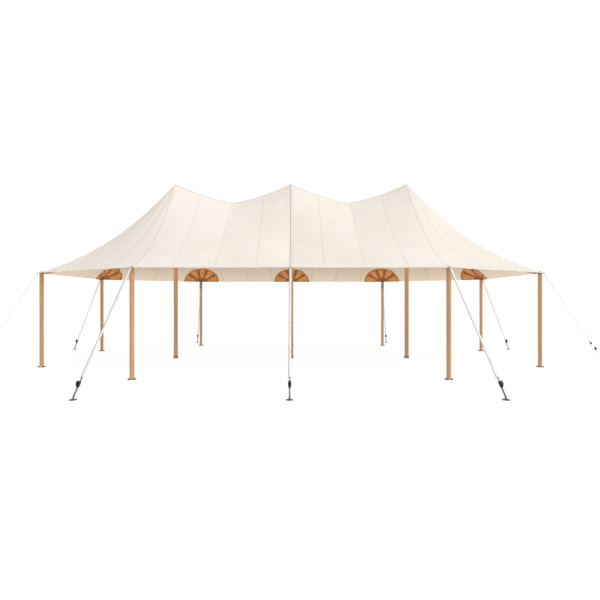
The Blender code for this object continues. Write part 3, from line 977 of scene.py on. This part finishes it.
def buildShoe(name):
    # a thin sole with a thick end on either side of the post, bolted to the ground
    low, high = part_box(f"post_foot_{name}")
    timberLow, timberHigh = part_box(f"side_post_{name}")
    end, depth, top = (high.x - low.x) / 2, high.y - low.y, high.z - shoe["proud"]
    inside = (timberHigh.x - timberLow.x) / 2 + shoe["play"]
    length, sole = end - inside, timberLow.z - tiny["gap"]
    at = footOf(f"post_foot_{name}")
    bm = boxShape((2 * end - shoe["ease"], depth, sole), (0, 0, sole / 2), at)
    for sign in (-1, 1):
        x = sign * (inside + length / 2)
        middle = (x, 0, (high.z + shoe["proud"]) / 2)
        joinShape(bm, boxShape((length, depth, top), middle, at, shoe["ease"], segments=3))
        for y in (-shoe["boltAt"], shoe["boltAt"]):
            bolt = at @ Matrix.Translation((x, y, high.z + shoe["boltHeight"] / 2))
            joinShape(bm, rodShape(shoe["boltRadius"], shoe["boltHeight"], shoe["boltSides"], bolt,
                                   shoe["boltEase"], 1))
            washer = at @ Matrix.Translation((x, y, high.z + shoe["washer"] / 2))
            joinShape(bm, rodShape(shoe["washerSize"] * shoe["boltRadius"], shoe["washer"], facets["rod"],
                                   washer, shoe["washerEase"], 1))
    return addPiece(f"steel_shoe_{name}", bm, [greySteel, zincSteel], [f"post_foot_{name}"])


def buildSocket(name):
    # a flanged steel sleeve around the foot of a pole
    low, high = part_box(f"centre_pole_foot_{name}")
    timberLow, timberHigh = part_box(f"centre_pole_{name}")
    rim, top = (high.x - low.x) / 2, high.z
    inner = (timberHigh.x - timberLow.x) / 2 + socket["play"]
    outer, base = inner + socket["wall"], timberLow.z - tiny["gap"]
    chamfer, lip = socket["chamfer"], socket["lip"]
    outline = [(0, base), (inner, base), (inner, top), (outer - chamfer, top), (outer, top - chamfer),
               (outer, base + chamfer), (outer + chamfer, base), (rim - chamfer, base),
               (rim, base - chamfer), (rim, lip), (rim - lip, 0.0), (0, 0.0)]
    at = footOf(f"centre_pole_foot_{name}")
    bm = turnedShape(outline, facets["plate"], at)
    for i in range(socket["screws"]):
        around = Matrix.Rotation(2 * math.pi * (i + 0.5) / socket["screws"], 4, "Z")
        screw = at @ around @ Matrix.Translation((outer + tiny["lift"], 0, socket["screwLevel"])) @ alongX
        joinShape(bm, rodShape(socket["screwRadius"], socket["screwHeight"], facets["screw"], screw,
                               socket["screwEase"], 1))
    return addPiece(f"steel_socket_{name}", bm, [dullSteel, zincSteel],
                    [f"centre_pole_foot_{name}"])


for name in postNames:
    buildPost(name)
    buildShoe(name)
for name in columns:
    buildPole(name)
    buildSocket(name)
print("timber and feet turned")


# Guys: a strap from the eave, a ratchet that tightens it, and a steel bar to the stake on its plate.
guy = {"standoff": 0.012, "headHeight": 0.040, "plateSize": 0.140, "strapWidth": 0.050,
       "strapThickness": 0.0028, "sewnLength": 0.26, "sewnEnd": 0.004, "widening": 0.010, "steps": 24,
       "wideLength": 0.10, "wideWidth": 0.058, "paintedShadeEdge": 0.012, "ratchetLength": 0.120,
       "smallRatchet": 0.67, "highShare": 0.85, "intoRatchet": 0.006, "pinEase": 0.0012}
linkFitting = {"length": 0.110, "width": 0.026, "thickness": 0.010, "ease": 0.003, "lap": 0.012,
               "intoRatchet": 0.014, "pinRadius": 0.0075, "pinLength": 0.044, "pinInset": 0.014}
midFitting = {"length": 0.070, "width": 0.050, "thickness": 0.034, "ease": 0.003, "above": 0.170,
              "clear": 0.012, "shift": 0.002, "strapOver": 0.020, "strapUnder": 0.016,
              "barRadius": 0.0070, "barLength": 0.066, "barInset": 0.010}
anchorBar = {"radius": 0.0140, "ease": 0.002, "knuckle": 0.0165, "knuckleLength": 0.018,
             "knuckleEase": 0.003, "knucklesAt": (0.10, 0.90),
             "intoRatchet": 0.012, "overHead": 0.006, "shortLength": 0.130,
             "tailStart": 0.026, "tailWidth": 0.040, "tailWidening": 0.03}
eyeRing = {"at": 0.004, "width": 0.066, "length": 0.036, "wire": 0.0045, "bendSteps": 8, "sides": 8}


def guyEnds(name):
    # the line's top at the eave and its foot at the stake head
    corner = eaveCorner(name)
    low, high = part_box(f"anchor_{name}")
    middle = middleOf(f"ratchet_{name}")
    half = guy["plateSize"] / 2
    stakeX = high.x - half if middle.x < (low.x + high.x) / 2 else low.x + half
    stakeY = high.y - half if middle.y < (low.y + high.y) / 2 else low.y + half
    if name.endswith("centre"):
        stakeX = 0.0
    stake = Vector((stakeX, stakeY))
    outward = (stake - corner).normalized()
    top = Vector((*(corner + guy["standoff"] * outward), eaveHeight - roof["solidDepth"] / 2))
    return top, Vector((*stake, guy["headHeight"]))


class GuyLine:
    # a guy's line, with its frame: X across, Y down the line, Z away from the tent
    def __init__(self, name):
        self.name = name
        self.top, self.ground = guyEnds(name)
        line = self.ground - self.top
        self.length = line.length
        self.down = line.normalized()
        self.across = self.down.cross(Vector((0, 0, 1))).normalized()
        self.away = self.across.cross(self.down)
        self.ratchetAt = (middleOf(f"ratchet_{name}") - self.top).dot(self.down)
        self.highRatchet = self.ratchetAt < guy["highShare"] * self.length
        self.ratchetSize = guy["smallRatchet"] if self.highRatchet else 1.0
        self.ratchetHalf = guy["ratchetLength"] / 2 * self.ratchetSize
        self.hasLink = name.startswith("front")

    def at(self, distance):
        return self.top + self.down * distance

    def frame(self, distance):
        turn = Matrix((self.across, self.down, self.away)).transposed().to_4x4()
        return Matrix.Translation(self.at(distance)) @ turn

    def band(self, bm, stations, finish=0):
        # flat webbing, with a grey band of painted shade along one edge on the front guys, for the strap's
        # shaded side
        rings = []
        for distance, width, thickness in stations:
            w, h, inner = width / 2, thickness / 2, width / 2 - guy["paintedShadeEdge"]
            rings.append(ringAround(self.at(distance), self.across, self.away,
                                    [(-w, -h), (inner, -h), (w, -h), (w, h), (inner, h), (-w, h)]))
        before = set(bm.faces)
        loftRings(bm, rings, finish)
        if finish == 0 and self.hasLink:
            # faces within the edge's width get the painted shade
            for face in set(bm.faces) - before:
                offset = (face.calc_center_median() - self.top).dot(self.across)
                if offset > guy["strapWidth"] / 2 - guy["paintedShadeEdge"]:
                    face.material_index = 2


def buildStrap(line):
    thin, width, start = guy["strapThickness"], guy["strapWidth"], guy["sewnLength"] + guy["sewnEnd"]
    end = line.ratchetAt - line.ratchetHalf + guy["intoRatchet"]
    if line.hasLink:
        end -= linkFitting["length"] - linkFitting["lap"]
    low = end - (midFitting["above"] if line.highRatchet else guy["wideLength"])
    run = low - guy["widening"] - start
    stations = [(0.0, width, 2 * thin), (guy["sewnLength"], width, 2 * thin), (start, width, thin)]
    stations += [(start + run * i / guy["steps"], width, thin) for i in range(1, guy["steps"] + 1)]
    bm = bmesh.new()
    if line.highRatchet:
        # a grey fitting joins the strap to a short tail above the ratchet
        line.band(bm, stations + [(low, width, 2 * thin), (low + midFitting["strapOver"], width, 2 * thin)])
        lower = low + midFitting["length"] - midFitting["strapUnder"]
        line.band(bm, [(lower, width, 2 * thin), (end, width, 2 * thin)])
        middle = low + midFitting["length"] / 2 + midFitting["shift"]
        size = (midFitting["width"], midFitting["length"] - midFitting["clear"], midFitting["thickness"])
        joinShape(bm, boxShape(size, (0, 0, 0), line.frame(middle), midFitting["ease"], 1, 3))
        for sign in (-1, 1):
            bar = line.frame(middle + sign * (midFitting["length"] / 2 - midFitting["barInset"])) @ alongX
            joinShape(bm, rodShape(midFitting["barRadius"], midFitting["barLength"], facets["pin"], bar,
                                   guy["pinEase"], 1))
    else:
        wide = guy["wideWidth"]
        line.band(bm, stations + [(low, wide, 2 * thin), (end, wide, 2 * thin)])
    return addPiece(f"webbing_strap_{line.name}", bm, [webbing, greySteel, paintedShadeEdge],
                    [f"strap_{line.name}"])


def buildCornerRing(line):
    # the ring at the eave's corner that the strap is sewn around: round bar bent into a loop
    wire, steps = eyeRing["wire"], eyeRing["bendSteps"]
    half = eyeRing["width"] / 2 - wire
    straight = eyeRing["length"] / 2 - wire - half
    path = []
    for sign in (1, -1):
        for i in range(steps + 1):
            angle = math.pi * i / steps
            path.append(line.at(eyeRing["at"]) + line.across * (sign * half * math.cos(angle))
                        + line.down * (sign * (straight + half * math.sin(angle))))
    out = line.across.cross(line.down).normalized()
    rings = []
    for i in range(len(path) + 1):
        before, after = path[(i - 1) % len(path)], path[(i + 1) % len(path)]
        beside = (after - before).normalized().cross(out)
        rings.append(ringAround(path[i % len(path)], beside, out, roundProfile(wire, eyeRing["sides"])))
    bm = bmesh.new()
    loftRings(bm, rings, looped=True)
    return addPiece(f"corner_ring_{line.name}", bm, [greySteel])


# The ratchet gets lower towards its lower end: stations down its length with half width, floor and top.
ratchet = {
    "stations": [(-0.060, 0.0265, 0.000, 0.044), (-0.050, 0.0280, -0.002, 0.056),
                 (-0.022, 0.0285, -0.003, 0.064), (0.006, 0.0285, -0.003, 0.060),
                 (0.030, 0.0275, -0.003, 0.044), (0.048, 0.0250, -0.002, 0.024),
                 (0.060, 0.0200, -0.001, 0.012)],
    "cheek": 0.0035, "cheekDrop": 0.008, "cheekShoulder": 0.012, "cheekEase": 0.001,
    "lidClear": 0.0008, "lidDepth": 0.014, "lidEase": 0.003, "lidWall": 0.0025, "lidRoof": 0.0032,
    "baseClear": 0.0005, "base": 0.003,
    "spoolAt": (-0.006, 0.026), "spool": (0.009, 0.070, 0.0015), "turns": (0.018, 0.046, 0.003),
    "wheelAt": 0.0308, "wheel": 0.0028, "wheelRadius": 0.0215, "teeth": 16, "toothDepth": 0.0035,
    "earAt": 0.0334, "ear": (0.0115, 0.0022, 0.0006),
    "gripAt": (-0.050, 0.054), "grip": (0.0100, 0.054, 0.003),
    "ribs": 7, "ribPitch": 0.0075, "rib": (0.0109, 0.0032, 0.0010),
    "pinAt": (0.050, 0.010), "pin": (0.0055, 0.054, 0.001),
    "padSize": (0.026, 0.010, 0.003), "padsAt": (-0.030, -0.004, 0.020), "padLevel": 0.0615, "padFall": 0.45,
    "padEase": 0.001,
    "fit": (0.94, 0.88, 1.0),   # its share of the stations' size
}


def stationRings(stations, profileOf):
    across, along, up = Vector((1, 0, 0)), Vector((0, 1, 0)), Vector((0, 0, 1))
    return [ringAround(along * y, across, up, profileOf(half, floor, top))
            for y, half, floor, top in stations]


def cheekProfile(sign, half, floor, top):
    outer, inner, shoulder = sign * half, sign * (half - ratchet["cheek"]), top - ratchet["cheekShoulder"]
    rounded, drop = sign * (half - ratchet["cheekEase"]), top - ratchet["cheekDrop"]
    return [(inner, floor), (outer, floor), (outer, shoulder), (rounded, drop), (inner, drop)]


def lidProfile(half, floor, top):
    # the folded handle: a channel open downwards
    outer = half - ratchet["cheek"] - ratchet["lidClear"]
    inner, eased = outer - ratchet["lidWall"], outer - ratchet["lidEase"]
    skirt, shoulder = top - ratchet["lidDepth"], top - ratchet["lidEase"]
    ceiling = top - ratchet["lidRoof"]
    return [(-outer, skirt), (-outer, shoulder), (-eased, top), (eased, top), (outer, shoulder),
            (outer, skirt), (inner, skirt), (inner, ceiling), (-inner, ceiling), (-inner, skirt)]


def baseProfile(half, floor, top):
    side = half - ratchet["cheek"] - ratchet["baseClear"]
    return [(-side, floor), (side, floor), (side, floor + ratchet["base"]), (-side, floor + ratchet["base"])]


def ratchetRod(bm, x, at, sizes, sides, finish=0):
    # a round part lying across the ratchet, from its radius, length and eased edge
    radius, length, ease = sizes
    spot = Matrix.Translation((x, *at)) @ alongX
    joinShape(bm, rodShape(radius, length, facets[sides], spot, ease, finish))


def toothedWheel(x):
    bm = bmesh.new()
    teeth, (y, z), corners = ratchet["teeth"], ratchet["spoolAt"], []
    for i in range(2 * teeth):
        reach = ratchet["wheelRadius"] - (ratchet["toothDepth"] if i % 2 else 0.0)
        angle = math.pi * i / teeth
        corners.append(bm.verts.new((x, y + reach * math.cos(angle), z + reach * math.sin(angle))))
    thickened(bm, [bm.faces.new(corners)], (ratchet["wheel"], 0, 0))
    return finishShape(bm, 1)


def ratchetShape():
    bm = bmesh.new()
    stations, spoolAt, gripAt = ratchet["stations"], ratchet["spoolAt"], ratchet["gripAt"]
    for sign in (-1, 1):
        loftRings(bm, stationRings(stations, lambda *sizes, sign=sign: cheekProfile(sign, *sizes)), 0)
    loftRings(bm, stationRings(stations[:-1], lidProfile), 0)
    loftRings(bm, stationRings(stations[1:], baseProfile), 0)
    ratchetRod(bm, 0, spoolAt, ratchet["spool"], "rod", 1)
    ratchetRod(bm, 0, spoolAt, ratchet["turns"], "spool", 2)
    for sign in (-1, 1):
        joinShape(bm, toothedWheel(sign * ratchet["wheelAt"] - ratchet["wheel"] / 2))
        ratchetRod(bm, sign * ratchet["earAt"], spoolAt, ratchet["ear"], "grip", 1)
    ratchetRod(bm, 0, ratchet["pinAt"], ratchet["pin"], "pin", 1)
    ratchetRod(bm, 0, gripAt, ratchet["grip"], "grip")
    for i in range(ratchet["ribs"]):
        ratchetRod(bm, (i - ratchet["ribs"] // 2) * ratchet["ribPitch"], gripAt, ratchet["rib"], "grip")
    for y in ratchet["padsAt"]:
        spot = (0, y, ratchet["padLevel"] - ratchet["padFall"] * max(0, y))
        joinShape(bm, boxShape(ratchet["padSize"], spot, Matrix.Identity(4), ratchet["padEase"]))
    return bm


def buildRatchet(line):
    bm = ratchetShape()
    bm.transform(Matrix.Diagonal((*ratchet["fit"], 1.0)) @ Matrix.Scale(line.ratchetSize, 4))
    bm.transform(line.frame(line.ratchetAt))
    return addPiece(f"tension_ratchet_{line.name}", bm, [blackCoat, darkSteel, blackWebbing],
                    [f"ratchet_{line.name}"])


# Outlines of the ground plate and the stake's head, from the middle at the top, down the outside.
anchor = {
    "plate": [(0, 0.0105), (0.030, 0.0105), (0.034, 0.0100), (0.063, 0.0088), (0.0670, 0.006),
              (0.0670, 0.0008), (0.0662, 0.0), (0, 0.0)],
    "head": [(0, 0.040), (0.010, 0.0395), (0.017, 0.037), (0.020, 0.032), (0.020, 0.024), (0.016, 0.020),
             (0.016, 0.0108), (0, 0.0108)],
}


def buildAnchor(line):
    at = Matrix.Translation((line.ground.x, line.ground.y, 0))
    bm = turnedShape(anchor["plate"], facets["plate"], at)
    joinShape(bm, turnedShape(anchor["head"], facets["head"], at))
    start = line.ratchetAt + line.ratchetHalf - anchorBar["intoRatchet"]
    foot = line.length - anchorBar["overHead"]
    if line.highRatchet:
        # a strap runs on below the ratchet to a short bar
        thin, wide, tail = guy["strapThickness"], anchorBar["tailWidth"], foot - anchorBar["shortLength"]
        widened = start + anchorBar["tailWidening"]
        line.band(bm, [(start, anchorBar["tailStart"], thin), (widened, wide, thin), (tail, wide, thin)], 2)
        start = tail - anchorBar["intoRatchet"]
    barLength = foot - start
    bar = line.frame(start + barLength / 2) @ alongY
    joinShape(bm, rodShape(anchorBar["radius"], barLength, facets["rod"], bar, anchorBar["ease"]))
    for share in anchorBar["knucklesAt"]:
        spot = line.frame(start + share * barLength) @ alongY
        joinShape(bm, rodShape(anchorBar["knuckle"], anchorBar["knuckleLength"], facets["rod"], spot,
                               anchorBar["knuckleEase"]))
    return addPiece(f"ground_anchor_{line.name}", bm, [greySteel, zincSteel, webbing],
                    [f"anchor_{line.name}"])


def buildLink(line):
    # a flat steel link between the strap and the ratchet, on the front guys
    length = linkFitting["length"]
    middle = line.ratchetAt - line.ratchetHalf + linkFitting["intoRatchet"] - length / 2
    size = (linkFitting["width"], length - linkFitting["lap"], linkFitting["thickness"])
    bm = boxShape(size, (0, 0, 0), line.frame(middle), linkFitting["ease"], segments=3)
    for sign in (-1, 1):
        pin = line.frame(middle + sign * (length / 2 - linkFitting["pinInset"])) @ alongX
        joinShape(bm, rodShape(linkFitting["pinRadius"], linkFitting["pinLength"], facets["pin"], pin,
                               guy["pinEase"]))
    return addPiece(f"guy_link_{line.name}", bm, [zincSteel])


for name in guyNames:
    line = GuyLine(name)
    buildStrap(line)
    if line.hasLink:
        buildLink(line)
    buildRatchet(line)
    buildAnchor(line)
    buildCornerRing(line)
print("guys rigged")


# Camera, floor and light.
view = {"location": (0.067, -12.516, 1.708), "focalPixels": 424.75, "centrePixel": 293.48, "imageSize": 600,
        "sensorWidth": 36.0}
camera = bpy.data.objects.new("camera", bpy.data.cameras.new("camera"))
camera.data.sensor_width = view["sensorWidth"]
camera.data.lens = view["sensorWidth"] * view["focalPixels"] / view["imageSize"]
camera.data.shift_x = (view["imageSize"] / 2 - view["centrePixel"]) / view["imageSize"]
camera.location = view["location"]
camera.rotation_euler = (math.radians(90), 0, 0)
scene.collection.objects.link(camera)
scene.camera = camera

studio = {
    "floorSize": 400.0, "floorLevel": -0.001, "floorGlow": 0.97, "floorTone": 0.06, "floorRoughness": 0.9,
    "skyFrom": (0.80, -0.45, 0.40), "skyDim": 0.22, "skyBright": 0.30, "skyColour": (1.0, 0.97, 0.91, 1),
    "sunPower": 2.62, "sunAngle": 40.0, "sunFrom": (0.37, -0.24, 0.90), "sunColour": (1.0, 1.0, 0.98),
}
floorMesh = bpy.data.meshes.new("floor")
ground = bmesh.new()
bmesh.ops.create_grid(ground, x_segments=2, y_segments=2, size=studio["floorSize"] / 2)
ground.to_mesh(floorMesh)
ground.free()
floor = bpy.data.objects.new("floor", floorMesh)
floor.location.z = studio["floorLevel"]
scene.collection.objects.link(floor)
floorMesh.materials.append(newFinish("paleFloor", (studio["floorTone"],) * 3, studio["floorRoughness"], {
    "Emission Color": (1, 1, 1, 1), "Emission Strength": studio["floorGlow"], "Specular IOR Level": 0.0}))

# The sky lights from the right and front; the camera sees plain white.
world = bpy.data.worlds.new("studio")
scene.world = world
world.use_nodes = True
skyNodes = world.node_tree.nodes
backdrop = skyNodes["Background"]
backdrop.inputs["Color"].default_value = (1, 1, 1, 1)
skyPlace = addNode(world, "ShaderNodeTexCoord").outputs["Generated"]
skySide = addNode(world, "ShaderNodeVectorMath", {0: skyPlace, 1: Vector(studio["skyFrom"]).normalized()},
                  operation="DOT_PRODUCT").outputs["Value"]
skyLevel = addNode(world, "ShaderNodeMapRange", {
    "Value": skySide, "From Min": -1.0, "To Min": studio["skyDim"], "To Max": studio["skyBright"]})
lighting = addNode(world, "ShaderNodeBackground", {
    "Color": studio["skyColour"], "Strength": skyLevel.outputs["Result"]})
cameraSees = addNode(world, "ShaderNodeLightPath").outputs["Is Camera Ray"]
chosen = addNode(world, "ShaderNodeMixShader", {
    0: cameraSees, 1: lighting.outputs[0], 2: backdrop.outputs[0]})
world.node_tree.links.new(chosen.outputs[0], skyNodes["World Output"].inputs["Surface"])

sun = bpy.data.objects.new("sun", bpy.data.lights.new("sun", "SUN"))
sun.data.energy = studio["sunPower"]
sun.data.angle = math.radians(studio["sunAngle"])
sun.data.color = studio["sunColour"]
sun.rotation_euler = Vector(studio["sunFrom"]).to_track_quat("Z", "Y").to_euler()
scene.collection.objects.link(sun)
scene.view_settings.view_transform = "Standard"
scene.view_settings.look = "None"
print("camera and lights set")
